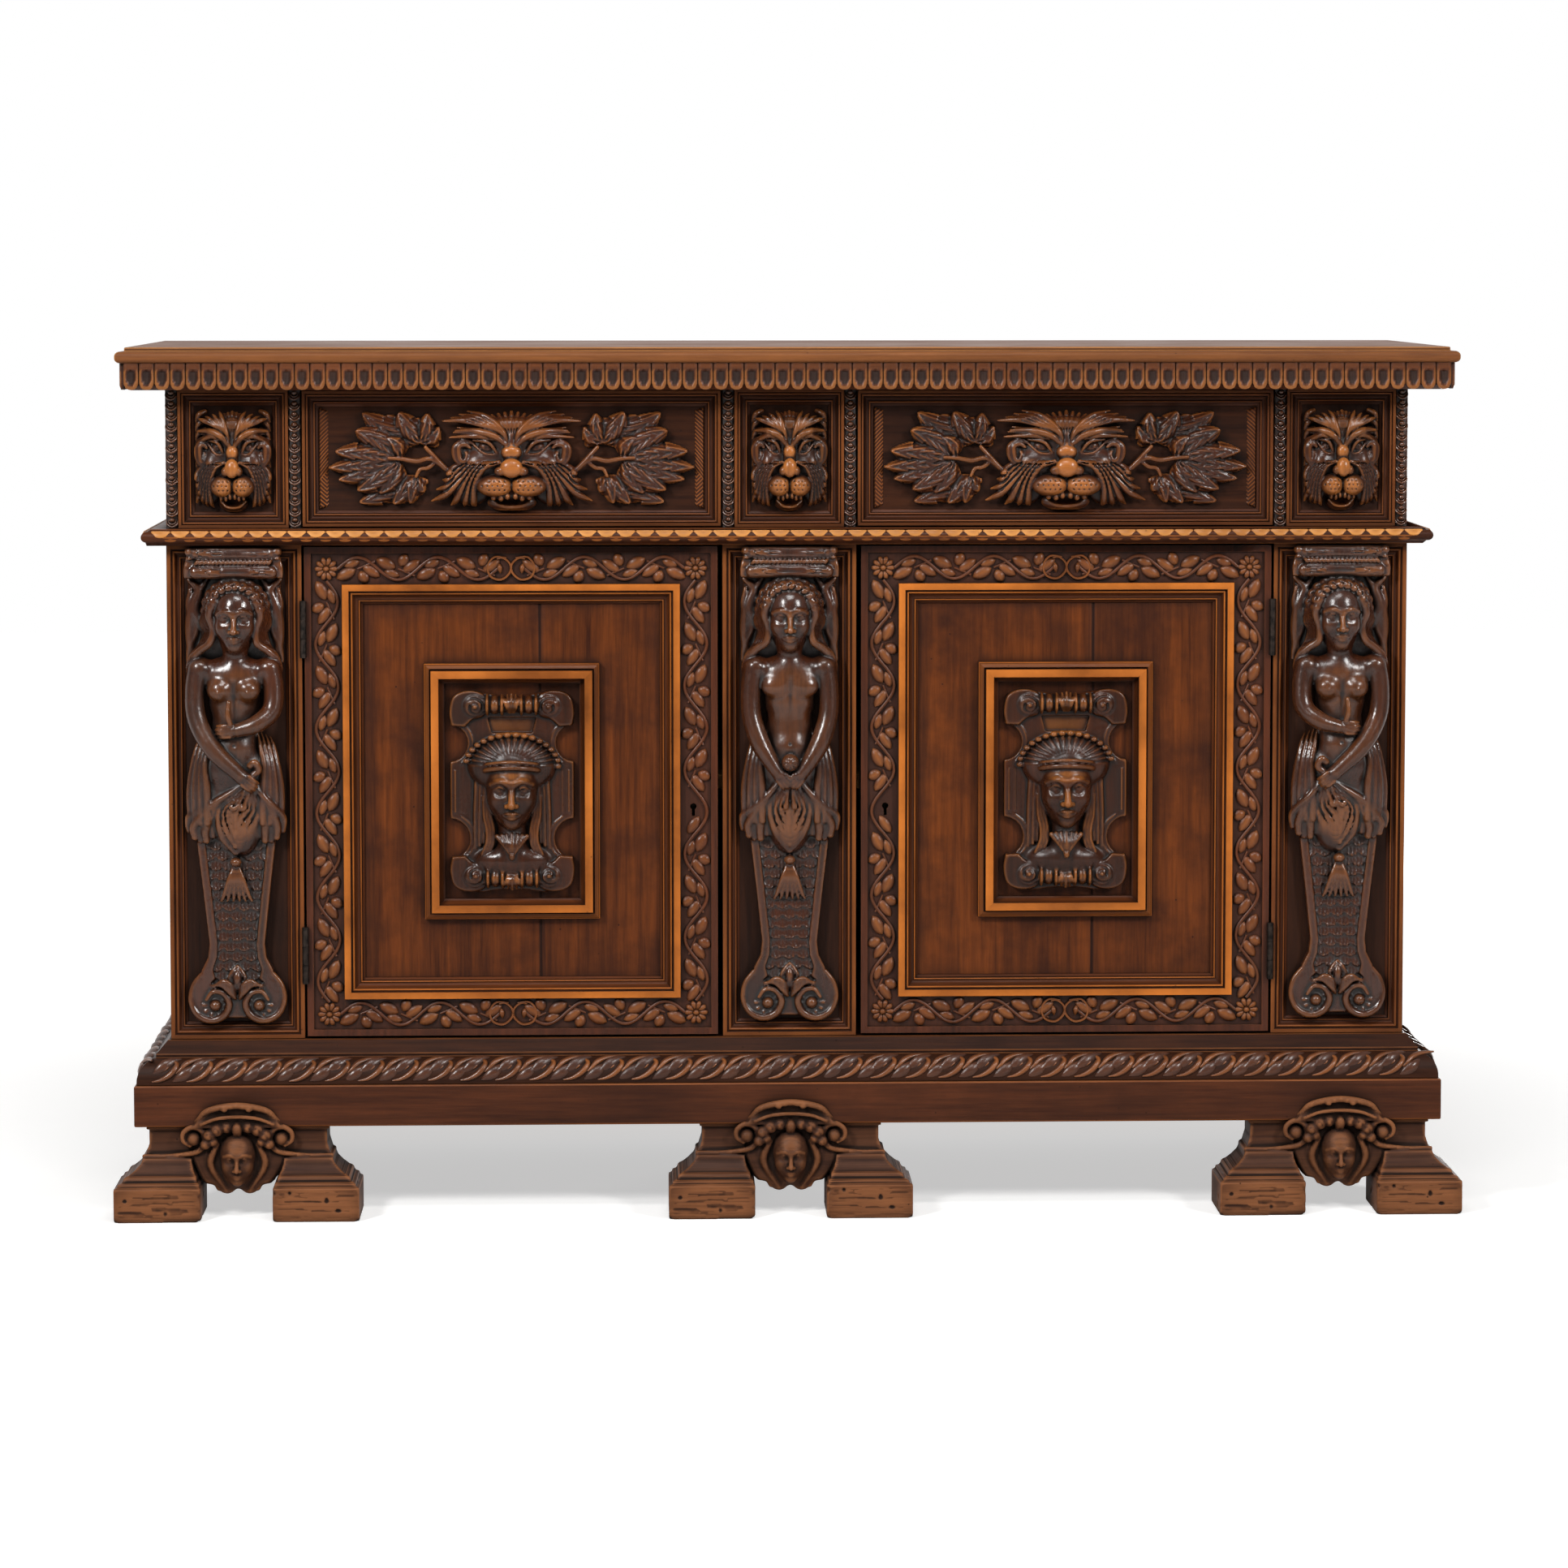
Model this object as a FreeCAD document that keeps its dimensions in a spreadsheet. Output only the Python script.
"""A carved walnut console cabinet in the Renaissance manner: two drawers over two doors, three
term figures on pilasters, lion masks in the frieze, and bracket feet with masks.

Millimetres, +Z up, the front looks along -Y. The origin is on the floor, under the middle of the piece.
"""

import FreeCAD, Part
import math
import os
import re
import Sketcher

# Driving dimensions. Every cell of the sheet is one of these, under its own name.
SIZES = {
    # the carcass
    "body_width": 1526,
    "body_depth": 440,
    "pilaster_width": 165,
    "front_thickness": 28,
    "side_thickness": 22,
    "back_thickness": 12,
    "back_board_count": 6,
    "partition_thickness": 22,
    "shelf_thickness": 18,
    "shelf_level": 300,
    "shelf_setback": 45,
    "cleat_section": 18,
    # heights, from the floor upwards
    "foot_height": 114,
    "plinth_height": 51,
    "rope_height": 31,
    "cap_height": 20,
    "cupboard_height": 611,
    "waist_height": 20,
    "frieze_height": 170,
    "gadroon_height": 33,
    "slab_thickness": 14,
    "slab_step": 5,
    # how far the mouldings stand out of the body
    "foot_projection": 67,
    "plinth_projection": 42,
    "rope_projection": 39,
    "cap_projection": 17,
    "waist_projection": 28,
    "gadroon_projection": 50,
    "top_projection": 55,
    "slab_inset": 11,
    "plinth_inset": 24,
    "tab_relief": 5,
    "tab_pitch": 18.8,
    "tab_gap": 1.6,
    # sunk panels and their mitred mouldings
    "sunk_depth": 10,
    "pilaster_moulding": 21,
    "frieze_moulding": 20,
    "bead_width": 15,
    "bead_relief": 13,
    "bead_pitch": 9.5,
    "bead_groove": 2.5,
    "figure_gap": 1,
    # doors
    "door_thickness": 28,
    "door_gap": 3,
    "meeting_gap": 6,
    "frame_width": 46,
    "frame_border": 8,
    "vine_depth": 4,
    "panel_setback": 14,
    "panel_thickness": 12,
    "panel_split": 221,
    "door_moulding": 25,
    "door_moulding_rise": 5,
    "raised_width": 216,
    "raised_height": 317,
    "raised_moulding": 25,
    "raised_depth": 25,
    "plaque_gap": 7,
    "plaque_thickness": 13,
    "keyhole_radius": 4,
    "keyhole_height": 286,
    "keyhole_inset": 30,
    # hinges and locks
    "hinge_length": 70,
    "hinge_radius": 4,
    "hinge_leaf": 1.2,
    "hinge_inset": 66,
    "pin_radius": 2,
    "running_gap": 0.06,
    "knuckle_gap": 0.3,
    "lock_width": 60,
    "lock_height": 72,
    "lock_depth": 13,
    "bolt_length": 42,
    "bolt_height": 16,
    "bolt_thickness": 6,
    "bolt_gap": 0.4,
    "bolt_setback": 1,
    # drawers
    "drawer_gap": 1.5,
    "drawer_run": 0.3,
    "drawer_front": 24,
    "drawer_side": 12,
    "drawer_bottom": 8,
    "drawer_head_room": 40,
    "drawer_back_room": 32,
    "guide_width": 20,
    "guide_height": 60,
    # feet
    "foot_width": 302,
    "foot_depth": 92,
    "foot_block": 108,
    "foot_block_height": 42,
    "foot_step_height": 30,
    "foot_neck": 220,
    "foot_neck_setback": 38,
    "crest_height": 32,
    "rear_foot": 80,
}

# Levels and planes, as expressions of the driving dimensions.
HALF = "body_width / 2"
FRONT = "((foot_projection - body_depth) / 2)"
BACK = "((foot_projection + body_depth) / 2)"
PLINTH_Z = "foot_height"
BASE_Z = f"({PLINTH_Z} + plinth_height)"
CARCASS_Z = f"({BASE_Z} + rope_height)"
CUPBOARD_Z = f"({CARCASS_Z} + cap_height)"
DECK_Z = f"({CUPBOARD_Z} + cupboard_height)"
FRIEZE_Z = f"({DECK_Z} + waist_height)"
RAIL_Z = f"({FRIEZE_Z} + frieze_height)"
TOP_Z = f"({RAIL_Z} + gadroon_height)"
FIELD_Y = f"({FRONT} + sunk_depth)"
INSIDE_Y = f"({FRONT} + front_thickness)"
BACK_Y = f"({BACK} - back_thickness)"
PILASTER_CENTRES = {
    "left": "(pilaster_width / 2 - body_width / 2)",
    "centre": "0",
    "right": "(body_width / 2 - pilaster_width / 2)",
}
OUTER_EDGE = f"({HALF} - pilaster_width)"
INNER_EDGE = "(pilaster_width / 2)"
BIG = "(body_width + body_depth)"
SIDES = {"left": -1, "right": 1}
ALONG_X = ((0, 1, 0), 90)
OUTWARD = ((1, 0, 0), 90)

doc = FreeCAD.newDocument("cabinet")
sheet = doc.addObject("Spreadsheet::Sheet", "Sizes")
for row, (word, number) in enumerate(SIZES.items(), start=1):
    sheet.set(f"A{row}", word)
    sheet.set(f"B{row}", str(number))
    sheet.setAlias(f"B{row}", word)
doc.recompute()

finished = []


def bind(text):
    """An expression with each driving dimension pointed at its cell."""
    return re.sub(r"[a-z_]+", lambda m: f"Sizes.{m[0]}" if m[0] in SIZES else m[0], str(text))


def number(text):
    """What an expression comes to now, used to start a sketch near its solution."""
    return float(sheet.evalExpression(bind(text)))


def tie(thing, **links):
    """Binds properties of an object to expressions."""
    for name, text in links.items():
        thing.setExpression(name, bind(text))


def put(thing, x="0", y="0", z="0", turn=None):
    """Binds an object's place. turn is (axis, degrees)."""
    if turn:
        rotation = FreeCAD.Rotation(FreeCAD.Vector(*turn[0]), turn[1])
        thing.Placement = FreeCAD.Placement(FreeCAD.Vector(), rotation)
    for name, text in (("x", x), ("y", y), ("z", z)):
        thing.setExpression(f"Placement.Base.{name}", bind(text))
    return thing


def node(thing, label):
    """Names a finished sub-part, which is written to its own file."""
    thing.Label = label
    finished.append(thing)
    return thing


def box(name, x, y, z):
    """A board from one face to the other along each axis."""
    made = doc.addObject("Part::Box", name)
    tie(made, Length=f"({x[1]}) - ({x[0]})", Width=f"({y[1]}) - ({y[0]})", Height=f"({z[1]}) - ({z[0]})")
    return put(made, x[0], y[0], z[0])


def knob(name, x, y, z, radius):
    """A ball round its place."""
    made = doc.addObject("Part::Sphere", name)
    tie(made, Radius=radius)
    return put(made, x, y, z)


def rod(name, x, y, z, radius, length, turn=None):
    """A cylinder that runs up from its place, or along the way that turn sets."""
    made = doc.addObject("Part::Cylinder", name)
    tie(made, Radius=radius, Height=length)
    return put(made, x, y, z, turn)


def limb(name, y, start, end, radius):
    """A round bar between two points (x, z) of an upright plane at y, with a ball at each end."""
    dx, dz = f"(({end[0]}) - ({start[0]}))", f"(({end[1]}) - ({start[1]}))"
    bar = rod(f"{name}_bar", start[0], y, start[1], radius, f"sqrt({dx} * {dx} + {dz} * {dz})", ALONG_X)
    tie(bar, **{"Placement.Rotation.Angle": f"atan2({dx}; {dz})"})
    return [bar] + [knob(f"{name}_{i}", p[0], y, p[1], radius) for i, p in enumerate((start, end))]


def fuse(name, pieces):
    made = doc.addObject("Part::MultiFuse", name)
    made.Shapes = pieces
    return made


def cut(name, base, tool):
    made = doc.addObject("Part::Cut", name)
    made.Base, made.Tool = base, tool
    return made


def group(label, pieces):
    """Several like pieces kept as separate solids of one node."""
    made = doc.addObject("Part::Compound", label + "_group")
    made.Links = pieces
    return node(made, label)


def arc_centre(start, end, kind):
    """The centre of an arc whose centre is level with (h) or above or below (v) one of its ends.
    A small letter means the start, a capital the end."""
    a, b = (start, end) if kind in "hv" else (end, start)
    flip = kind in "vV"
    (a0, a1), (b0, b1) = ((a[1], a[0]), (b[1], b[0])) if flip else (a, b)
    c0 = (b0 * b0 - a0 * a0 + (b1 - a1) ** 2) / (2 * (b0 - a0))
    return (a1, c0) if flip else (c0, a1)


def draw(body, plane, name, loops):
    """A sketch on one of the body's planes. A loop is a list of points (u, v) as expressions. A third
    item makes the edge that leaves the point an arc, and says how its centre lies: see arc_centre."""
    sketch = body.newObject("Sketcher::SketchObject", name)
    support = next(f for f in body.Origin.OriginFeatures if f.Role == plane)
    sketch.AttachmentSupport = [(support, "")]
    sketch.MapMode = "FlatFace"
    ties = []
    for loop in loops:
        first = sketch.GeometryCount
        spots = [(number(p[0]), number(p[1])) for p in loop]
        ends = []
        for i, point in enumerate(loop):
            a, b = spots[i], spots[(i + 1) % len(loop)]
            if len(point) == 2:
                edge = Part.LineSegment(FreeCAD.Vector(*a), FreeCAD.Vector(*b))
                ends.append((1, 2))
            else:
                c = arc_centre(a, b, point[2])
                turn = (a[0] - c[0]) * (b[1] - c[1]) - (a[1] - c[1]) * (b[0] - c[0])
                ends.append((1, 2) if turn > 0 else (2, 1))
                low, high = (a, b) if turn > 0 else (b, a)
                circle = Part.Circle(FreeCAD.Vector(*c), FreeCAD.Vector(0, 0, 1), math.dist(a, c))
                angles = [math.atan2(p[1] - c[1], p[0] - c[0]) for p in (low, high)]
                edge = Part.ArcOfCircle(circle, *angles)
            sketch.addGeometry(edge, False)
        for i, point in enumerate(loop):
            here, after = first + i, first + (i + 1) % len(loop)
            start, end = ends[i]
            sketch.addConstraint(
                Sketcher.Constraint("Coincident", here, end, after, ends[(i + 1) % len(loop)][0])
            )
            for axis, text, value in zip("XY", point, spots[i]):
                link = Sketcher.Constraint(f"Distance{axis}", -1, 1, here, start, value)
                ties.append((sketch.addConstraint(link), text))
            if len(point) == 3:
                way = "Horizontal" if point[2] in "hH" else "Vertical"
                other = start if point[2] in "hv" else end
                sketch.addConstraint(Sketcher.Constraint(way, here, 3, here, other))
    for index, text in ties:
        sketch.setExpression(f"Constraints[{index}]", bind(text))
    return sketch


def pad(body, sketch, length, symmetric=False, lean=0):
    """Raises a sketch to a length. lean is the angle at which its walls close in."""
    made = body.newObject("PartDesign::Pad", sketch.Name + "_pad")
    made.Profile = sketch
    made.SideType = "Symmetric" if symmetric else "One side"
    made.TaperAngle = -lean
    tie(made, Length=length)
    return made


def revolve(body, sketch, angle):
    """Turns a profile about the sketch's upright axis. Half a turn stands out of the front."""
    made = body.newObject("PartDesign::Revolution", sketch.Name + "_turn")
    made.Profile = sketch
    made.ReferenceAxis = (sketch, ["V_Axis"])
    made.Angle = angle
    made.Reversed = True
    return made


def pocket_through(body, sketch):
    made = body.newObject("PartDesign::Pocket", sketch.Name + "_cut")
    made.Profile = sketch
    made.SideType = "Symmetric"
    made.Type = "Length"
    tie(made, Length=f"2 * {BIG}")
    return made


def moulding(name, profile, inner, reach, inset, ends):
    """A moulded length along X. profile holds (depth, height) points, with depth 0 on the body's face and
    below 0 outside it. inner is its length on that face, and each end is mitre or square."""
    body = doc.addObject("PartDesign::Body", name)
    pad(body, draw(body, "YZ_Plane", name + "_profile", [profile]), f"{inner} + 2 * {reach}", True)
    far = f"{inner} / 2 + 2 * {reach}"
    loops = []
    for sign, end in zip("-+", ends):
        near_in = f"{inner} / 2 - {inset}" if end == "mitre" else f"{inner} / 2"
        near_out = f"{inner} / 2 + {reach}" if end == "mitre" else f"{inner} / 2"
        corner = [(near_in, inset), (far, inset), (far, f"-{reach}"), (near_out, f"-{reach}")]
        loops.append([(f"{sign}({u})", v) for u, v in corner])
    pocket_through(body, draw(body, "XY_Plane", name + "_ends", loops))
    return body


def round_three_sides(label, profile, z, reach, inset="0"):
    """A moulding along the front, mitred to a return on each side."""
    front = put(moulding(label + "_front", profile, "body_width", reach, inset, ("mitre",) * 2), y=FRONT, z=z)
    left = moulding(label + "_left", profile, "body_depth", reach, inset, ("square", "mitre"))
    put(left, f"-{HALF}", "foot_projection / 2", z, ((0, 0, 1), -90))
    right = moulding(label + "_right", profile, "body_depth", reach, inset, ("mitre", "square"))
    put(right, HALF, "foot_projection / 2", z, ((0, 0, 1), 90))
    return [front, left, right]


def mitred_frame(name, x, y, z, profile, width):
    """Four mitred rails round an opening. profile holds (depth, across) points, with across 0 on the
    frame's outer edge and depth below 0 towards the front."""
    across, up = f"({x[1]}) - ({x[0]})", f"({z[1]}) - ({z[0]})"
    mid_x, mid_z = f"(({x[0]}) + ({x[1]})) / 2", f"(({z[0]}) + ({z[1]})) / 2"
    rails = []
    for side, length, turn, px, pz in (
        ("bottom", across, 0, mid_x, z[0]),
        ("top", across, 180, mid_x, z[1]),
        ("left", up, 90, x[0], mid_z),
        ("right", up, -90, x[1], mid_z),
    ):
        body = doc.addObject("PartDesign::Body", f"{name}_{side}")
        pad(body, draw(body, "YZ_Plane", f"{name}_{side}_profile", [profile]), length, True)
        end, tip = f"({length}) / 2", f"({length}) / 2 - ({width})"
        corners = [
            [(f"{s}({end})", "0"), (f"{s}({end})", width), (f"{s}({tip})", width)] for s in "-+"
        ]
        pocket_through(body, draw(body, "XZ_Plane", f"{name}_{side}_mitre", corners))
        rails.append(put(body, px, y, pz, ((0, 1, 0), turn)))
    return rails


def sunk_profile(width, depth):
    """A flat outer fillet that rolls down to a thin inner edge, round a sunk field."""
    return [
        ("0", "0"),
        (f"-{depth}", "0"),
        (f"-{depth}", f"0.36 * {width}"),
        (f"-0.75 * {depth}", f"0.42 * {width}", "V"),
        (f"-0.35 * {depth}", f"0.86 * {width}"),
        (f"-0.35 * {depth}", width),
        ("0", width),
    ]


def build_carcass():
    """Boards of the case, from the bottom board to the rail under the top."""
    inner = (f"-{HALF} + side_thickness", f"{HALF} - side_thickness")
    width = (f"-{HALF}", HALF)
    front = (FRONT, INSIDE_Y)
    deep = (INSIDE_Y, BACK_Y)
    node(box("bottom", width, (FRONT, BACK), (CARCASS_Z, CUPBOARD_Z)), "bottom_board")
    side_y, side_z = (INSIDE_Y, BACK), (CUPBOARD_Z, TOP_Z)
    node(box("side_a", (width[0], inner[0]), side_y, side_z), "side_board_left")
    node(box("side_b", (inner[1], width[1]), side_y, side_z), "side_board_right")
    node(box("waist_rail_board", width, front, (DECK_Z, FRIEZE_Z)), "waist_rail")
    node(box("deck", inner, deep, (DECK_Z, FRIEZE_Z)), "drawer_deck")
    node(box("rail", width, front, (RAIL_Z, TOP_Z)), "frieze_rail")
    half = "partition_thickness / 2"
    node(box("partition", (f"-{half}", half), deep, (CUPBOARD_Z, DECK_Z)), "centre_partition")

    boards = []
    step = f"(body_width - 2 * side_thickness) / {SIZES['back_board_count']}"
    for i in range(SIZES["back_board_count"]):
        span = (f"{inner[0]} + {i} * {step}", f"{inner[0]} + {i + 1} * {step}")
        boards.append(box(f"back_{i}", span, (BACK_Y, BACK), (CUPBOARD_Z, TOP_Z)))
    group("back_boards", boards)

    shelf_top = f"{CUPBOARD_Z} + shelf_level + shelf_thickness"
    shelf_z = (f"{CUPBOARD_Z} + shelf_level", shelf_top)
    cleat_z = (f"{CUPBOARD_Z} + shelf_level - cleat_section", shelf_z[0])
    shelf_y = (f"{INSIDE_Y} + shelf_setback", BACK_Y)
    left, right = (inner[0], f"-{half}"), (half, inner[1])
    group("shelves", [box("shelf_a", left, shelf_y, shelf_z), box("shelf_b", right, shelf_y, shelf_z)])
    cleats = [
        (inner[0], f"{inner[0]} + cleat_section"),
        (f"-{half} - cleat_section", f"-{half}"),
        (half, f"{half} + cleat_section"),
        (f"{inner[1]} - cleat_section", inner[1]),
    ]
    group("shelf_cleats", [box(f"cleat_{i}", x, shelf_y, cleat_z) for i, x in enumerate(cleats)])

    guides = []
    guide_z = (FRIEZE_Z, f"{FRIEZE_Z} + guide_height")
    for i, edge in enumerate((f"-{OUTER_EDGE}", f"-{INNER_EDGE}", INNER_EDGE, OUTER_EDGE)):
        span = (f"{edge} - guide_width", edge) if i in (0, 2) else (edge, f"{edge} + guide_width")
        guides.append(box(f"guide_{i}", span, deep, guide_z))
    group("drawer_guides", guides)


def build_top():
    """The top: a slab with a rounded nose on three sides, and a step inside it."""
    body = doc.addObject("PartDesign::Body", "top")
    side = f"({HALF} + top_projection)"
    lip = f"({FRONT} - top_projection)"
    plan = [(f"-{side}", lip), (side, lip), (side, BACK), (f"-{side}", BACK)]
    slab = pad(body, draw(body, "XY_Plane", "slab_plan", [plan]), "slab_thickness")
    doc.recompute()
    back = number(BACK)
    nose = []
    for i, edge in enumerate(slab.Shape.Edges, start=1):
        box_ = edge.BoundBox
        if box_.ZLength < 1e-6 and box_.YMin < back - 1e-6:
            nose.append(f"Edge{i}")
    rounded = body.newObject("PartDesign::Fillet", "nose")
    rounded.Base = (slab, nose)
    tie(rounded, Radius="slab_thickness * 0.42")
    inner = f"({side} - slab_inset)"
    edge = f"({lip} + slab_inset)"
    plan = [(f"-{inner}", edge), (inner, edge), (inner, BACK), (f"-{inner}", BACK)]
    step = draw(body, "XY_Plane", "step_plan", [plan])
    pad(body, step, "slab_thickness + slab_step")
    node(put(body, z=TOP_Z), "top_board")


def build_gadroon():
    """The moulding under the top: a block with a row of round-ended tabs along its face."""
    face = "(gadroon_projection - tab_relief)"
    profile = [
        ("0", "0"),
        (f"-{face} + 8", "0"),
        (f"-{face}", "6"),
        (f"-{face}", "gadroon_height"),
        ("0", "gadroon_height"),
    ]
    lengths = round_three_sides("gadroon", profile, RAIL_Z, face)
    wide = "(tab_pitch - tab_gap)"
    for body, inner, ends in zip(lengths, ("body_width", "body_depth", "body_depth"), (2, 1, 1)):
        run = f"({inner} + {ends} * {face})"
        count = int(number(run) // number("tab_pitch"))
        shift = {2: "0", 1: f"{face} / 2"}[ends]
        sign = "-" if body.Name.endswith("right") else ""
        start = f"{sign}({shift}) - {count - 1} / 2 * tab_pitch"
        tab = draw(body, "XZ_Plane", body.Name + "_tab", [[
            (f"{start} - {wide} / 2", "gadroon_height"),
            (f"{start} - {wide} / 2", f"{wide} * 0.4", "h"),
            (start, "0.5", "v"),
            (f"{start} + {wide} / 2", f"{wide} * 0.4"),
            (f"{start} + {wide} / 2", "gadroon_height"),
        ]])
        tie(tab, **{"AttachmentOffset.Base.z": face})
        first = pad(body, tab, "tab_relief")
        row = body.newObject("PartDesign::LinearPattern", body.Name + "_row")
        row.Originals = [first]
        row.Direction = (next(f for f in body.Origin.OriginFeatures if f.Role == "X_Axis"), [""])
        row.Mode = "Spacing"
        row.Occurrences = count
        tie(row, Offset="tab_pitch")
        body.Tip = row
    group("gadroon_moulding", lengths)


def build_waist_and_base():
    """The scaled moulding between frieze and doors, the roped base moulding, and the plinth frame."""
    p, h = "waist_projection", "waist_height"
    waist = [
        ("0", "0"),
        (f"-0.6 * {p}", "0"),
        (f"-0.74 * {p}", f"0.2 * {h}", "H"),
        (f"-{p}", f"0.52 * {h}", "h"),
        (f"-0.74 * {p}", f"0.86 * {h}"),
        (f"-0.6 * {p}", h),
        ("0", h),
    ]
    group("waist_moulding", round_three_sides("waist", waist, DECK_Z, p))
    seat = "plinth_inset"
    base = [
        (seat, "0"),
        ("-rope_projection", "0"),
        ("-rope_projection", "0.14 * rope_height", "h"),
        ("-cap_projection - 2", "rope_height"),
        ("-cap_projection", "rope_height"),
        ("-cap_projection", "rope_height + 0.22 * cap_height"),
        ("-0.2 * cap_projection", "rope_height + cap_height"),
        ("0", "rope_height + cap_height"),
        ("0", "rope_height"),
        (seat, "rope_height"),
    ]
    inner = (f"-{HALF} + {seat}", f"{HALF} - {seat}")
    rear = (f"{BACK} - {seat}", BACK)
    lengths = round_three_sides("base", base, BASE_Z, "rope_projection", seat)
    group("base_moulding", lengths + [box("base_back", inner, rear, (BASE_Z, CARCASS_Z))])
    p = "plinth_projection"
    plinth = [(seat, "0"), (f"-{p}", "0"), (f"-{p}", "plinth_height"), (seat, "plinth_height")]
    frame = round_three_sides("plinth", plinth, PLINTH_Z, p, seat)
    group("plinth_frame", frame + [box("plinth_back", inner, rear, (PLINTH_Z, BASE_Z))])


def build_pilasters_and_frieze():
    """Three pilaster boards below and three panels above, each with a mitred moulding round its field."""
    half = "pilaster_width / 2"
    lower, upper, beads, panels = [], [], [], []
    for place, centre in PILASTER_CENTRES.items():
        x = (f"{centre} - {half}", f"{centre} + {half}")
        y = (FIELD_Y, INSIDE_Y)
        low, high = (CUPBOARD_Z, DECK_Z), (FRIEZE_Z, RAIL_Z)
        node(box(f"pilaster_board_{place}", x, y, low), f"pilaster_{place}")
        panels.append(box(f"frieze_board_{place}", x, y, high))
        width = "pilaster_moulding"
        profile = sunk_profile(width, "sunk_depth")
        lower += mitred_frame(f"pilaster_{place}_frame", x, FIELD_Y, low, profile, width)
        inner = (f"{x[0]} + bead_width", f"{x[1]} - bead_width")
        width = "frieze_moulding"
        profile = sunk_profile(width, "sunk_depth")
        upper += mitred_frame(f"frieze_{place}_frame", inner, FIELD_Y, high, profile, width)
        for name, at in (("a", f"{x[0]} + bead_width / 2"), ("b", f"{x[1]} - bead_width / 2")):
            beads.append(bead_strip(f"bead_strip_{place}_{name}", at))
    group("frieze_panels", panels)
    group("pilaster_mouldings", lower)
    group("frieze_mouldings", upper)
    group("bead_strips", beads)


def bead_strip(name, x):
    """A thin fillet with a row of rounded beads along it, up one edge of a frieze panel."""
    body = doc.addObject("PartDesign::Body", name)
    base = "(0.4 * bead_relief)"
    w = "bead_width / 2"
    strip = [(f"-{w}", "0"), (w, "0"), (w, f"-{base}"), (f"-{w}", f"-{base}")]
    pad(body, draw(body, "XY_Plane", name + "_fillet", [strip]), "frieze_height")
    bead = "(bead_pitch - bead_groove)"
    count = int(number("frieze_height") // number("bead_pitch"))
    start = f"(frieze_height - ({count - 1}) * bead_pitch - {bead}) / 2"
    outline = [
        (f"-{w}", f"-{base}"),
        (w, f"-{base}"),
        (f"0.8 * {w}", "-0.75 * bead_relief"),
        (f"0.35 * {w}", "-bead_relief"),
        (f"-0.35 * {w}", "-bead_relief"),
        (f"-0.8 * {w}", "-0.75 * bead_relief"),
    ]
    sketch = draw(body, "XY_Plane", name + "_bead", [outline])
    tie(sketch, **{"AttachmentOffset.Base.z": start})
    first = pad(body, sketch, bead)
    row = body.newObject("PartDesign::LinearPattern", name + "_row")
    row.Originals = [first]
    row.Direction = (next(f for f in body.Origin.OriginFeatures if f.Role == "Z_Axis"), [""])
    row.Mode = "Spacing"
    row.Occurrences = count
    tie(row, Offset="bead_pitch")
    body.Tip = row
    return put(body, x, FIELD_Y, FRIEZE_Z)


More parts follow.
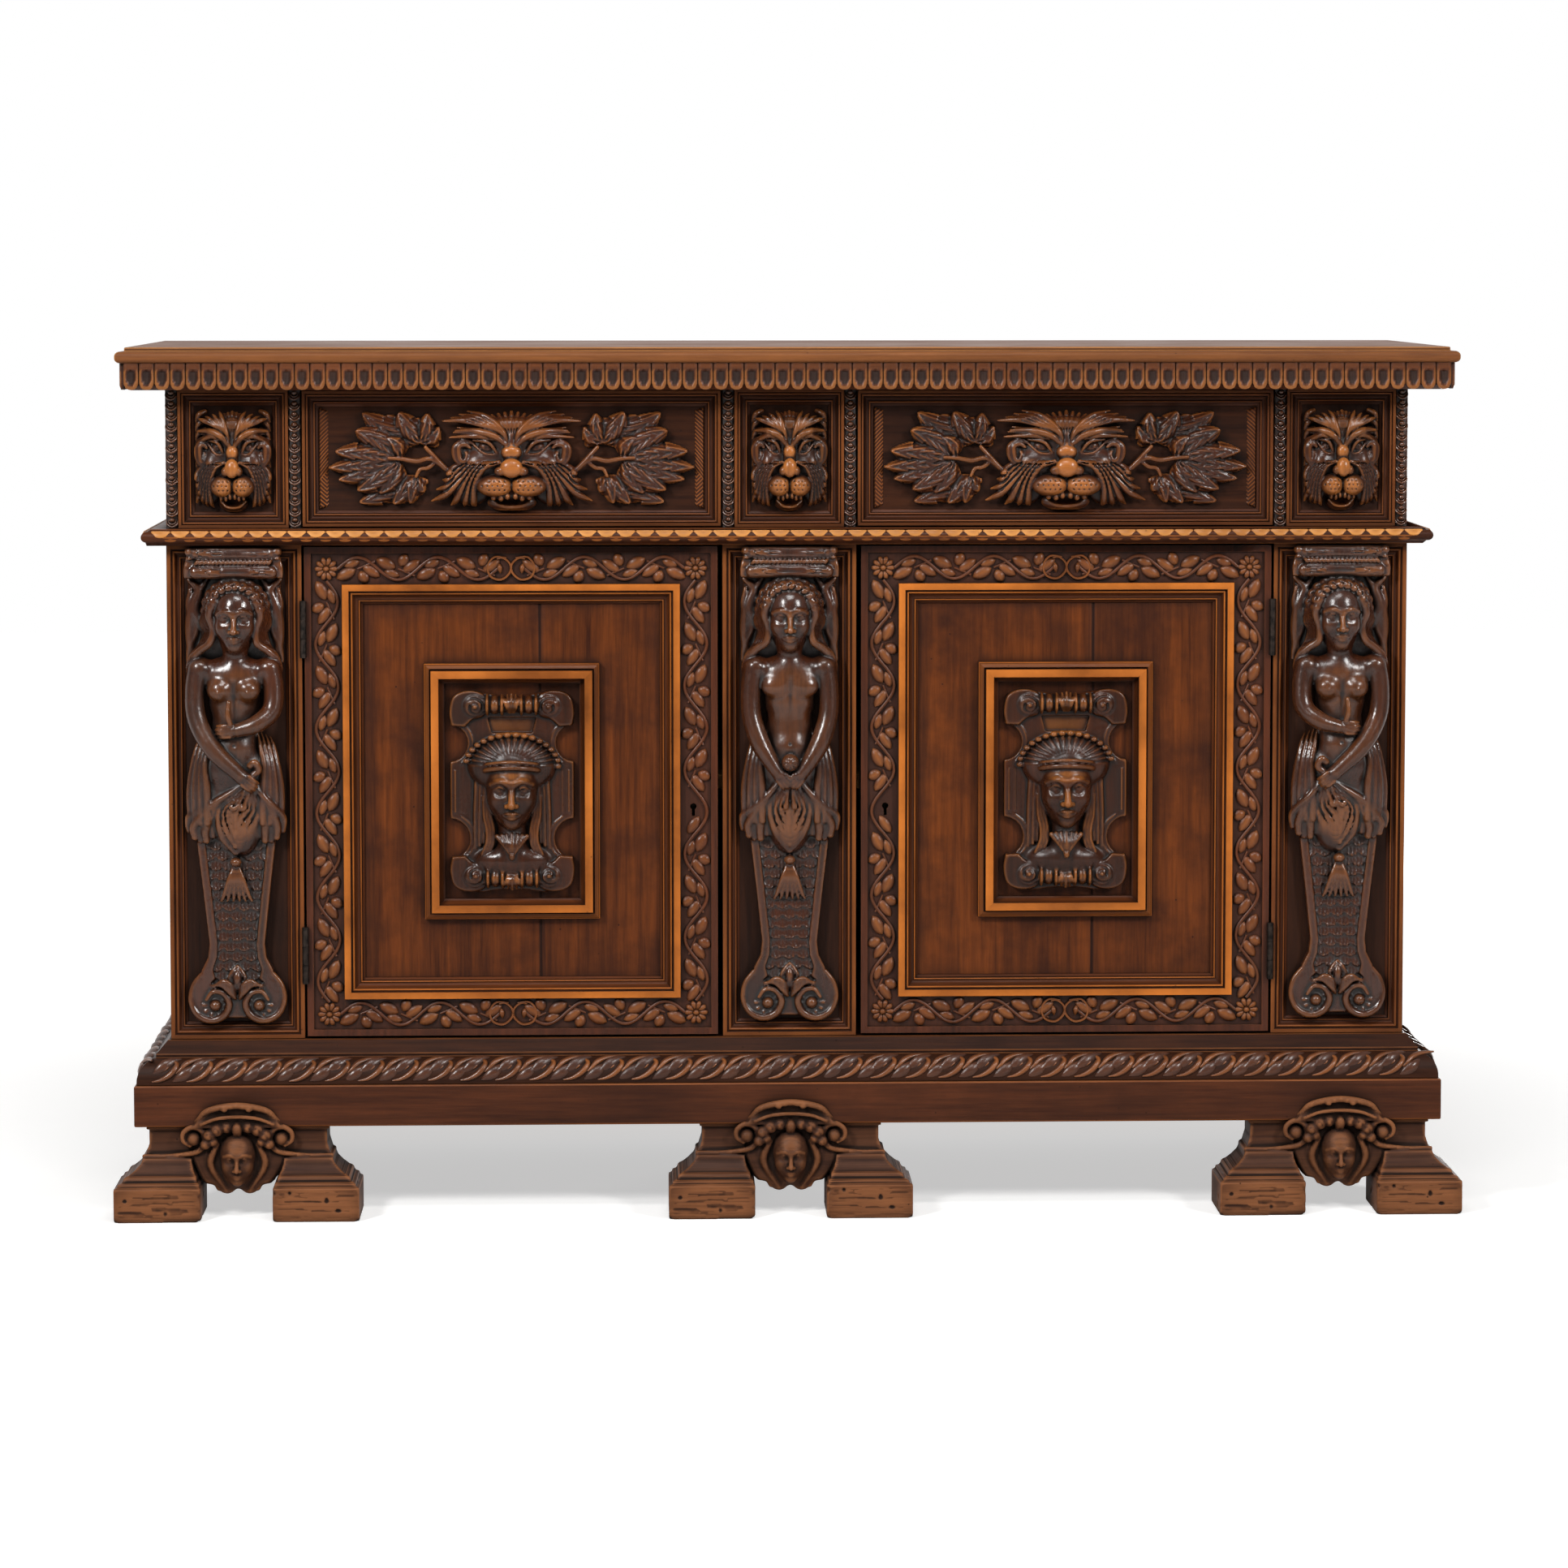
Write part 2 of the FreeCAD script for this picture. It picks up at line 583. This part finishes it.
def build_caryatid(place, hands):
    """A term figure: scrolled foot, tapering shaft, hanging drapery, bare torso, head and a tasselled cap.
    Its width follows the pilaster's field, and its shaft takes up the height. hands holds the place of the
    left and the right hand, as a share of the half width and a distance below the top."""
    centre = PILASTER_CENTRES[place]
    name = f"figure_{place}"
    f = "(pilaster_width / 2 - pilaster_moulding - figure_gap)"
    low = f"({CUPBOARD_Z} + pilaster_moulding + figure_gap)"
    top = f"({DECK_Z} - figure_gap)"

    def at(share):
        return f"({centre} + {share} * {f})"

    def down(depth):
        return f"({top} - {depth})"

    trunk = doc.addObject("PartDesign::Body", f"{name}_trunk")
    right = [
        (f"0.5 * {f}", low, "v"),
        (f, f"{low} + 27", "h"),
        (f"0.74 * {f}", f"{low} + 56"),
        (f"0.74 * {f}", f"{low} + 64", "V"),
        (f"0.6 * {f}", f"{low} + 86"),
        (f"0.82 * {f}", down(350)),
    ]
    swap = {"v": "V", "V": "v", "h": "H", "H": "h"}
    left = []
    for i in range(len(right) - 1, -1, -1):
        before = right[i - 1][2:] if i else ()
        left.append((f"-{right[i][0]}", right[i][1]) + tuple(swap[kind] for kind in before))
    pad(trunk, draw(trunk, "XZ_Plane", f"{name}_shaft", [right + left]), "sunk_depth + 12")
    profile = [
        ("0", down(392)),
        (f"0.3 * {f}", down(388)),
        (f"0.8 * {f}", down(352)),
        (f"0.68 * {f}", down(300)),
        (f"0.68 * {f}", down(286), "h"),
        (f"0.54 * {f}", down(232), "H"),
        (f"0.7 * {f}", down(176), "h"),
        (f"0.34 * {f}", down(138)),
        (f"0.22 * {f}", down(130)),
        (f"0.2 * {f}", down(106)),
        ("0", down(106)),
    ]
    revolve(trunk, draw(trunk, "XZ_Plane", f"{name}_torso", [profile]), 180)
    pieces = [put(trunk, centre, FIELD_Y)]

    arm_y, hand_y, fold_y = f"{FIELD_Y} - 20", f"{FIELD_Y} - 36", f"{FIELD_Y} - 14"
    for i, (sign, hand) in enumerate(zip((-1, 1), hands)):
        scroll = at(sign * 0.5), FIELD_Y, f"{low} + 26"
        pieces.append(rod(f"{name}_volute_{i}", *scroll, f"0.4 * {f}", "30", OUTWARD))
        elbow = (at(sign * 0.78), down(228))
        pieces += limb(f"{name}_upper_arm_{i}", arm_y, (at(sign * 0.78), down(152)), elbow, f"0.2 * {f}")
        pieces += limb(f"{name}_forearm_{i}", hand_y, elbow, (at(hand[0]), down(hand[1])), f"0.16 * {f}")
        fold = (at(sign * 0.62), down(285)), (at(sign * 0.78), down(366))
        pieces += limb(f"{name}_fold_{i}", fold_y, *fold, f"0.2 * {f}")
        breast = at(sign * 0.3), f"{FIELD_Y} - 0.52 * {f}", down(174)
        pieces.append(knob(f"{name}_breast_{i}", *breast, f"0.24 * {f}"))
    tassel = (centre, down(386)), (centre, down(428))
    pieces += limb(f"{name}_tassel", f"{FIELD_Y} - 24", *tassel, f"0.14 * {f}")
    pieces += [
        knob(f"{name}_skull", centre, f"{FIELD_Y} - 30", down(76), f"0.45 * {f}"),
        knob(f"{name}_jaw", centre, f"{FIELD_Y} - 34", down(97), f"0.3 * {f}"),
        rod(f"{name}_hair", centre, FIELD_Y, down(72), f"0.62 * {f}", "22", OUTWARD),
    ]
    cap_x = (at(-0.98), at(0.98))
    brim = f"({FRONT} - 34)"
    under = f"{DECK_Z} - pilaster_moulding - figure_gap"
    pieces.append(box(f"{name}_cap", cap_x, (brim, FRONT), (down(38), top)))
    pieces.append(box(f"{name}_cap_foot", cap_x, (FRONT, FIELD_Y), (down(38), under)))
    for i, depth in enumerate((10, 29)):
        pieces.append(rod(f"{name}_roll_{i}", at(-0.8), brim, down(depth), "8", f"1.6 * {f}", ALONG_X))
    mantle_y = (f"{FIELD_Y} - 13", FIELD_Y)
    pieces.append(box(f"{name}_mantle", (at(-0.97), at(0.97)), mantle_y, (down(262), down(30))))
    node(fuse(f"{name}_mass", pieces), f"caryatid_{place}")


# The steps of a lion's mask, as (depth, lean, right half of the outline in half widths and half heights).
LION_STEPS = {
    "mane": (13, 30, [
        (0.25, -1), (0.62, -0.86), (0.8, -0.55), (1, -0.35), (0.9, 0),
        (1, 0.3), (0.84, 0.6), (0.62, 0.95), (0.3, 0.86),
    ]),
    "brow": (21, 20, [(0.4, -0.5), (0.7, -0.1), (0.68, 0.3), (0.45, 0.62), (0.12, 0.5)]),
    "nose": (37, 6, [(0.28, -0.2), (0.17, 0.1), (0.26, 0.46)]),
    "lips": (34, 14, [(0.1, -0.66), (0.5, -0.62), (0.66, -0.4), (0.5, -0.12), (0.1, -0.08)]),
    "jaw": (24, 8, [(0.2, -0.96), (0.44, -0.86), (0.38, -0.7)]),
}


def lion(name, x, y, z, w, h):
    """A lion's mask of half width w and half height h, carved in steps that lean in from a field at y."""
    body = doc.addObject("PartDesign::Body", name)
    for step, (depth, lean, half) in LION_STEPS.items():
        outline = [(f"{u} * {w}", f"{v} * {h}") for u, v in half]
        outline += [(f"-{u} * {w}", f"{v} * {h}") for u, v in reversed(half)]
        pad(body, draw(body, "XZ_Plane", f"{name}_{step}", [outline]), depth, lean=lean)
    return put(body, x, y, z)


def blade(name, x, y, z, length, width, angle):
    """A pointed leaf with two bowed edges, bevelled towards its rib."""
    body = doc.addObject("PartDesign::Body", name)
    outline = [
        (f"-{length} / 2", "0", "V"),
        ("0", f"-{width} / 2", "v"),
        (f"{length} / 2", "0", "V"),
        ("0", f"{width} / 2", "v"),
    ]
    pad(body, draw(body, "XZ_Plane", f"{name}_outline", [outline]), "sunk_depth - 1", lean=30)
    return put(body, x, y, z, ((0, 1, 0), angle))


def build_frieze_masks():
    """A lion's mask in each of the three small panels of the frieze."""
    middle = f"({FRIEZE_Z} + frieze_height / 2)"
    w = "(pilaster_width / 2 - bead_width - frieze_moulding - figure_gap)"
    h = "(frieze_height / 2 - frieze_moulding - figure_gap)"
    for place, centre in PILASTER_CENTRES.items():
        node(lion(f"lion_{place}", centre, FIELD_Y, middle, w, h), f"lion_mask_{place}")


# The leaves of a spray beside a drawer's mask: along and up from its middle, length, and turn in degrees.
SPRAY = [
    (1.62, 0, 1.5, 0),
    (2.75, 0, 1.7, 0),
    (2.3, 0.4, 1.2, -42),
    (2.3, -0.4, 1.2, 42),
    (1.7, 0.48, 1, -72),
    (1.7, -0.48, 1, 72),
]


def build_drawer(side):
    """A drawer: a front with a sunk carved field, and a box of two sides, a back and a bottom."""
    sign = SIDES[side]
    name = f"{side}_drawer"
    edges = (f"-{OUTER_EDGE}", f"-{INNER_EDGE}") if sign < 0 else (INNER_EDGE, OUTER_EDGE)
    x = (f"{edges[0]} + drawer_gap", f"{edges[1]} - drawer_gap")
    z = (f"{FRIEZE_Z} + drawer_gap", f"{RAIL_Z} - drawer_gap")
    back_face = f"({FRONT} + drawer_front)"
    node(box(f"{name}_board", x, (FIELD_Y, back_face), z), f"{name}_front")
    profile = sunk_profile("frieze_moulding", "sunk_depth")
    group(f"{name}_moulding", mitred_frame(f"{name}_frame", x, FIELD_Y, z, profile, "frieze_moulding"))

    end = f"({BACK_Y} - drawer_back_room)"
    base = f"{FRIEZE_Z} + drawer_run"
    high = (base, f"{RAIL_Z} - drawer_head_room")
    inner = (f"{x[0]} + drawer_side", f"{x[1]} - drawer_side")
    floor = f"{base} + drawer_bottom"
    group(f"{name}_box", [
        box(f"{name}_side_a", (x[0], inner[0]), (back_face, end), high),
        box(f"{name}_side_b", (inner[1], x[1]), (back_face, end), high),
        box(f"{name}_back", inner, (f"{end} - drawer_side", end), high),
        box(f"{name}_bottom", inner, (back_face, f"{end} - drawer_side"), (base, floor)),
    ])

    middle = f"(({x[0]}) + ({x[1]})) / 2"
    level = f"({FRIEZE_Z} + frieze_height / 2)"
    h = "(frieze_height / 2 - drawer_gap - frieze_moulding - figure_gap)"
    pieces = [lion(f"{name}_lion", middle, FIELD_Y, level, f"(1.3 * {h})", h)]
    for i, sign in enumerate((-1, 1)):
        for k, (along, up, length, turn) in enumerate(SPRAY):
            spot = f"{middle} + {sign * along} * {h}", FIELD_Y, f"{level} + {up} * {h}"
            size = f"({length} * {h})", f"(0.5 * {h})"
            pieces.append(blade(f"{name}_leaf_{i}_{k}", *spot, *size, sign * turn))
    node(fuse(f"{name}_carved", pieces), f"{name}_carving")


def door_span(side):
    """The door's left and right faces, and its bottom and top."""
    if SIDES[side] < 0:
        x = (f"-{OUTER_EDGE} + door_gap", f"-{INNER_EDGE} - meeting_gap")
    else:
        x = (f"{INNER_EDGE} + meeting_gap", f"{OUTER_EDGE} - door_gap")
    return x, (f"{CUPBOARD_Z} + door_gap", f"{DECK_Z} - door_gap")


def build_door(side):
    """A framed door: stiles and rails with a sunk band for the vine, a two-board panel in a bold moulding,
    and on the panel a raised frame round a carved plaque."""
    sign = SIDES[side]
    name = f"{side}_door"
    x, z = door_span(side)
    y = (FRONT, f"{FRONT} + door_thickness")
    hole = (f"{x[0]} + frame_width", f"{x[1]} - frame_width")
    gap = (f"{z[0]} + frame_width", f"{z[1]} - frame_width")
    sunk = (f"{FRONT} - vine_depth", f"{FRONT} + vine_depth")
    band_x = (f"{x[0]} + frame_border", f"{x[1]} - frame_border")
    band_z = (f"{z[0]} + frame_border", f"{z[1]} - frame_border")
    members = [
        ("stile_left", (x[0], hole[0]), z, (band_x[0], hole[0]), band_z),
        ("stile_right", (hole[1], x[1]), z, (hole[1], band_x[1]), band_z),
        ("rail_bottom", hole, (z[0], gap[0]), hole, (band_z[0], gap[0])),
        ("rail_top", hole, (gap[1], z[1]), hole, (gap[1], band_z[1])),
    ]
    free = "stile_right" if sign < 0 else "stile_left"
    key_x = f"({x[1]} - keyhole_inset)" if sign < 0 else f"({x[0]} + keyhole_inset)"
    key_z = f"({CUPBOARD_Z} + keyhole_height)"
    frame = []
    for part, px, pz, bx, bz in members:
        blank = box(f"{name}_{part}_blank", px, y, pz)
        tools = [box(f"{name}_{part}_band", bx, sunk, bz)]
        if part == free:
            bore = rod(f"{name}_key_bore", key_x, y[1], key_z, "keyhole_radius", "door_thickness", OUTWARD)
            slot = (f"{key_x} - 0.5 * keyhole_radius", f"{key_x} + 0.5 * keyhole_radius")
            tools += [bore, box(f"{name}_key_slot", slot, y, (f"{key_z} - 3 * keyhole_radius", key_z))]
        tool = fuse(f"{name}_{part}_tools", tools) if len(tools) > 1 else tools[0]
        frame.append(cut(f"{name}_{part}", blank, tool))
    group(f"{name}_frame", frame)

    face = f"({FRONT} + panel_setback)"
    panel_y = (face, f"{face} + panel_thickness")
    split = f"{hole[0]} + frame_width - door_moulding + panel_split"
    group(f"{name}_panel", [
        box(f"{name}_panel_a", (hole[0], split), panel_y, gap),
        box(f"{name}_panel_b", (split, hole[1]), panel_y, gap),
    ])
    w, d = "door_moulding", "(panel_setback + door_moulding_rise)"
    bolection = [
        ("0", "0"),
        (f"-0.9 * {d}", "0", "h"),
        (f"-{d}", f"0.12 * {w}"),
        (f"-{d}", f"0.24 * {w}"),
        (f"-0.85 * {d}", f"0.3 * {w}", "V"),
        (f"-0.45 * {d}", f"0.72 * {w}"),
        (f"-0.3 * {d}", f"0.76 * {w}"),
        (f"-0.2 * {d}", w),
        ("0", w),
    ]
    group(f"{name}_moulding", mitred_frame(f"{name}_bolection", hole, face, gap, bolection, w))

    mid_x, mid_z = f"(({hole[0]}) + ({hole[1]})) / 2", f"(({gap[0]}) + ({gap[1]})) / 2"
    raised_x = (f"{mid_x} - raised_width / 2", f"{mid_x} + raised_width / 2")
    raised_z = (f"{mid_z} - raised_height / 2", f"{mid_z} + raised_height / 2")
    w, d = "raised_moulding", "raised_depth"
    raised = [
        ("0", "0"),
        (f"-0.4 * {d}", "0"),
        (f"-0.5 * {d}", f"0.1 * {w}"),
        (f"-0.5 * {d}", f"0.28 * {w}"),
        (f"-0.68 * {d}", f"0.34 * {w}", "h"),
        (f"-{d}", f"0.62 * {w}", "h"),
        (f"-0.7 * {d}", f"0.86 * {w}"),
        (f"-0.25 * {d}", w),
        ("0", w),
    ]
    group(f"{name}_raised_frame", mitred_frame(f"{name}_raised", raised_x, face, raised_z, raised, w))
    build_plaque(name, mid_x, mid_z, face)
    build_lock(side, name, x, y[1], key_z)


def build_plaque(name, x, z, face):
    """A strapwork plaque: a notched plate with rolled ends, and a bust in a fluted headdress."""
    w = "(raised_width / 2 - raised_moulding - plaque_gap)"
    h = "(raised_height / 2 - raised_moulding - plaque_gap)"
    plate = doc.addObject("PartDesign::Body", f"{name}_plate")
    quarter = [
        (w, f"0.27 * {h}"),
        (f"0.84 * {w}", f"0.27 * {h}", "v"),
        (f"0.6 * {w}", f"0.45 * {h}", "h"),
        (f"0.84 * {w}", f"0.63 * {h}"),
        (w, f"0.63 * {h}"),
        (w, f"0.84 * {h}", "h"),
        (f"0.76 * {w}", h),
    ]
    back = {"v": "V", "h": "H", "V": "v", "H": "h"}

    def flipped(points, sx, sz):
        """The quarter outline in another quarter, run the other way where one sign turns it over."""
        turned = [(f"{sx}({p[0]})", f"{sz}({p[1]})") + tuple(p[2:]) for p in points]
        if sx == sz:
            return turned
        bare = [p[:2] for p in turned]
        arcs = [back[p[2]] if len(p) == 3 else None for p in turned]
        bare.reverse()
        arcs = arcs[-2::-1] + [None]
        return [p + ((a,) if a else ()) for p, a in zip(bare, arcs)]

    outline = []
    for sx, sz in (("+", "+"), ("-", "+"), ("-", "-"), ("+", "-")):
        outline += flipped(quarter, sx, sz)
    pad(plate, draw(plate, "XZ_Plane", f"{name}_plate_outline", [outline]), "plaque_thickness")
    put(plate, x, face, z)
    pieces = [plate]
    for end, sign in (("top", 1), ("bottom", -1)):
        at = f"{z} + {sign} * (0.86 * {h})"
        start = f"{x} - 0.58 * {w}", f"{face} - plaque_thickness - 4", at
        pieces.append(rod(f"{name}_roll_{end}", *start, f"0.125 * {h}", f"1.16 * {w}", ALONG_X))
        for i, s in enumerate((-1, 1)):
            spot = f"{x} + {s} * 0.62 * {w}", face, at
            size = f"0.13 * {h}", "plaque_thickness + 16"
            pieces.append(rod(f"{name}_volute_{end}_{i}", *spot, *size, OUTWARD))
    bust = doc.addObject("PartDesign::Body", f"{name}_bust")
    profile = [
        ("0", f"-0.86 * {h}"),
        (f"0.3 * {w}", f"-0.82 * {h}"),
        (f"0.5 * {w}", f"-0.62 * {h}", "h"),
        (f"0.2 * {w}", f"-0.42 * {h}"),
        (f"0.17 * {w}", f"-0.24 * {h}"),
        ("0", f"-0.24 * {h}"),
    ]
    revolve(bust, draw(bust, "XZ_Plane", f"{name}_bust_profile", [profile]), 180)
    pieces += [
        put(bust, x, face, z),
        knob(f"{name}_skull", x, f"{face} - 30", f"{z} - 0.03 * {h}", f"0.33 * {w}"),
        knob(f"{name}_jaw", x, f"{face} - 33", f"{z} - 0.17 * {h}", f"0.22 * {w}"),
        rod(f"{name}_headdress", x, face, f"{z} + 0.08 * {h}", f"0.52 * {w}", "27", OUTWARD),
    ]
    node(fuse(f"{name}_carved", pieces), f"{name}_plaque")


def build_lock(side, name, x, inside, key_z):
    """A rim lock on the back of the free stile: an open-ended case, and a bolt that slides in it."""
    sign = SIDES[side]
    out = x[1] if sign < 0 else x[0]
    inward = "-" if sign < 0 else "+"

    def span(near, far):
        ends = (f"{out} {inward} ({far})", f"{out} {inward} ({near})")
        return ends if sign < 0 else ends[::-1]

    depth = (inside, f"{inside} + lock_depth")
    case_z = (f"{key_z} - lock_height / 2", f"{key_z} + lock_height / 2")
    mid = f"({inside} + lock_depth / 2)"
    case = box(f"{name}_case", span("0", "lock_width"), depth, case_z)
    bolt_y = (f"{mid} - bolt_thickness / 2", f"{mid} + bolt_thickness / 2")
    bolt_z = (f"{key_z} - bolt_height / 2", f"{key_z} + bolt_height / 2")
    slot_y = (f"{bolt_y[0]} - bolt_gap", f"{bolt_y[1]} + bolt_gap")
    slot_z = (f"{bolt_z[0]} - bolt_gap", f"{bolt_z[1]} + bolt_gap")
    slot = box(f"{name}_bolt_way", span("-1", "bolt_setback + bolt_length + bolt_gap"), slot_y, slot_z)
    node(cut(f"{name}_lock_shell", case, slot), f"{name}_lock_case")
    bolt = box(f"{name}_bolt_bar", span("bolt_setback", "bolt_setback + bolt_length"), bolt_y, bolt_z)
    node(bolt, f"{name}_lock_bolt")


def build_hinges():
    """Two butt hinges a door: leaves in the joint, and knuckles proud of the front round a pin. The outer
    knuckles belong to the case and the middle one to the door."""
    plates, pins = [], []
    axis_y = f"({FRONT} - hinge_radius - knuckle_gap)"
    leaf_end = f"{FRONT} + 0.8 * door_thickness"
    bore = "pin_radius + running_gap"
    third = "hinge_length / 3"
    for side, sign in SIDES.items():
        edge = f"({sign} * {OUTER_EDGE})"
        axis_x = f"({edge} - {sign} * door_gap / 2)"
        leaves = []
        for level in ("low", "high"):
            foot = f"{CUPBOARD_Z} + door_gap + hinge_inset"
            base = foot if level == "low" else f"{DECK_Z} - door_gap - hinge_inset - hinge_length"
            tag = f"{side}_{level}"

            def leaf(name, near, spans):
                """Knuckles over the given heights, and a leaf plate against one side of the joint."""
                cut_x = (f"{edge} - {sign} * ({near})", f"{edge} - {sign} * ({near} + hinge_leaf)")
                plate_x = cut_x[::-1] if sign > 0 else cut_x
                pieces = []
                for i, (low, high) in enumerate(spans):
                    at, tall = f"{base} + {low}", f"{high} - ({low})"
                    pieces.append(rod(f"{name}_knuckle_{i}", axis_x, axis_y, at, "hinge_radius", tall))
                    way = (f"{base} + {low}", f"{base} + {high}")
                    pieces.append(box(f"{name}_plate_{i}", plate_x, (axis_y, leaf_end), way))
                if len(spans) > 1:
                    spine = (f"{FRONT} + 0.3 * door_thickness", leaf_end)
                    pieces.append(box(f"{name}_spine", plate_x, spine, (base, f"{base} + hinge_length")))
                hole = rod(f"{name}_bore", axis_x, axis_y, f"{base} - 1", bore, "hinge_length + 2")
                return cut(name, fuse(f"{name}_mass", pieces), hole)

            outer = [("0", f"{third} - knuckle_gap"), (f"2 * {third} + knuckle_gap", "hinge_length")]
            plates.append(leaf(f"hinge_plate_{tag}", "0", outer))
            leaves.append(leaf(f"hinge_leaf_{tag}", "door_gap - hinge_leaf", [(third, f"2 * {third}")]))
            pins.append(rod(f"hinge_pin_{tag}", axis_x, axis_y, base, "pin_radius", "hinge_length"))
        group(f"{side}_door_hinge_leaves", leaves)
    group("hinge_plates", plates)
    group("hinge_pins", pins)


def build_foot(place, centre):
    """A bracket foot: two stepped blocks under a coved neck, a mask hung between scrolls, and a crest that
    laps the plinth."""
    name = f"foot_{place}"
    front = f"({FRONT} - foot_projection)"
    rear = f"({front} + foot_depth)"
    neck_y = f"({front} + foot_neck_setback)"
    step_z = "(foot_block_height + foot_step_height)"
    pieces = []
    for i, sign in enumerate((-1, 1)):
        ends = (f"{centre} + {sign} * foot_width / 2", f"{centre} + {sign} * (foot_width / 2 - foot_block)")
        x = ends if sign < 0 else ends[::-1]
        pieces.append(box(f"{name}_block_{i}", x, (front, rear), ("0", "foot_block_height")))
        slope = doc.addObject("Part::Wedge", f"{name}_step_{i}")
        outer, inner = "((foot_width - foot_neck) / 2 - 4)", "8"
        near, far = (outer, inner) if sign < 0 else (inner, outer)
        tie(slope, Ymin="0", Ymax="foot_step_height", Zmin="0", Zmax="foot_depth - 4", Z2min="0")
        tie(slope, Xmin="3", Xmax="foot_block - 3", X2min=near, X2max=f"foot_block - {far}")
        tie(slope, Z2max="foot_depth - foot_neck_setback + 4")
        pieces.append(put(slope, x[0], rear, "foot_block_height", OUTWARD))
        scroll = f"{centre} + {sign} * 0.24 * foot_neck", rear, f"{PLINTH_Z} - 18"
        reach = "foot_depth - foot_neck_setback + 16"
        pieces.append(rod(f"{name}_scroll_{i}", *scroll, "15", reach, OUTWARD))
    neck = doc.addObject("PartDesign::Body", f"{name}_neck")
    w = "foot_neck / 2"
    outline = [
        (f"-{w} - 4", step_z),
        (f"{w} + 4", step_z),
        (f"{w} + 4", f"{step_z} + 5", "h"),
        (w, PLINTH_Z),
        (f"-{w}", PLINTH_Z, "V"),
        (f"-{w} - 4", f"{step_z} + 5"),
    ]
    pad(neck, draw(neck, "XZ_Plane", f"{name}_neck_outline", [outline]), "foot_depth - foot_neck_setback")
    pieces.append(put(neck, centre, rear))

    crest = doc.addObject("PartDesign::Body", f"{name}_crest")
    half = "0.17 * foot_width"
    outline = [
        (f"-{half}", "-6"),
        (half, "-6"),
        (half, "0.2 * crest_height", "V"),
        (f"0.4 * {half}", "crest_height"),
        (f"-0.4 * {half}", "crest_height", "v"),
        (f"-{half}", "0.2 * crest_height"),
    ]
    pad(crest, draw(crest, "XZ_Plane", f"{name}_crest_outline", [outline]), "14")
    pieces.append(put(crest, centre, f"{FRONT} - plinth_projection", PLINTH_Z))
    hair = centre, rear, "0.8 * foot_height"
    pieces += [
        knob(f"{name}_skull", centre, f"{neck_y} - 3", "0.66 * foot_height", "0.085 * foot_width"),
        knob(f"{name}_jaw", centre, f"{neck_y} - 6", "0.45 * foot_height", "0.056 * foot_width"),
        rod(f"{name}_hair", *hair, "0.12 * foot_width", "foot_depth - foot_neck_setback + 12", OUTWARD),
        box(
            f"{name}_apron",
            (f"{centre} - 0.2 * foot_width", f"{centre} + 0.2 * foot_width"),
            (f"{neck_y} + 4", f"{neck_y} + 24"),
            (f"{step_z} - 22", f"{step_z} + 4"),
        ),
    ]
    plinth_y = (f"{FRONT} - plinth_projection", BIG)
    above = box(f"{name}_plinth_space", (f"-{BIG}", BIG), plinth_y, (PLINTH_Z, BIG))
    node(cut(f"{name}_trimmed", fuse(f"{name}_mass", pieces), above), name)


def build_feet():
    out = f"({HALF} + foot_projection - foot_width / 2)"
    for place, centre in (("left", f"-{out}"), ("centre", "0"), ("right", out)):
        build_foot(place, centre)
    y = (f"{BACK} - rear_foot", BACK)
    z = ("0", PLINTH_Z)
    edge = f"({HALF} + plinth_projection)"
    group("rear_feet", [
        box("rear_foot_a", (f"-{edge}", f"-{edge} + rear_foot"), y, z),
        box("rear_foot_b", ("-rear_foot / 2", "rear_foot / 2"), y, z),
        box("rear_foot_c", (f"{edge} - rear_foot", edge), y, z),
    ])


def check_and_write():
    """Stops on any failed object, then writes one STEP file for each sub-part."""
    doc.recompute()
    for thing in doc.Objects:
        bad = {"Invalid", "Error"} & set(thing.State)
        if bad:
            raise RuntimeError(f"{thing.Name} failed: {thing.State}")
    os.makedirs("parts", exist_ok=True)
    for thing in finished:
        shape = thing.Shape
        if shape.isNull() or not shape.isValid() or not shape.Solids:
            raise RuntimeError(f"{thing.Label} has no valid solid")
        if thing.TypeId == "Part::MultiFuse" and len(shape.Solids) > 1:
            raise RuntimeError(f"{thing.Label} is in pieces")
        shape.exportStep(f"parts/{thing.Label}.step")
    print(len(finished), "sub-parts,", sum(len(t.Shape.Solids) for t in finished), "solids")


build_carcass()
build_top()
build_gadroon()
build_waist_and_base()
build_pilasters_and_frieze()
build_caryatid("left", [(-0.7, 300), (0.05, 258)])
build_caryatid("centre", [(-0.1, 272), (0.14, 288)])
build_caryatid("right", [(-0.05, 258), (0.7, 300)])
build_frieze_masks()
for hand in SIDES:
    build_drawer(hand)
    build_door(hand)
build_hinges()
build_feet()
check_and_write()
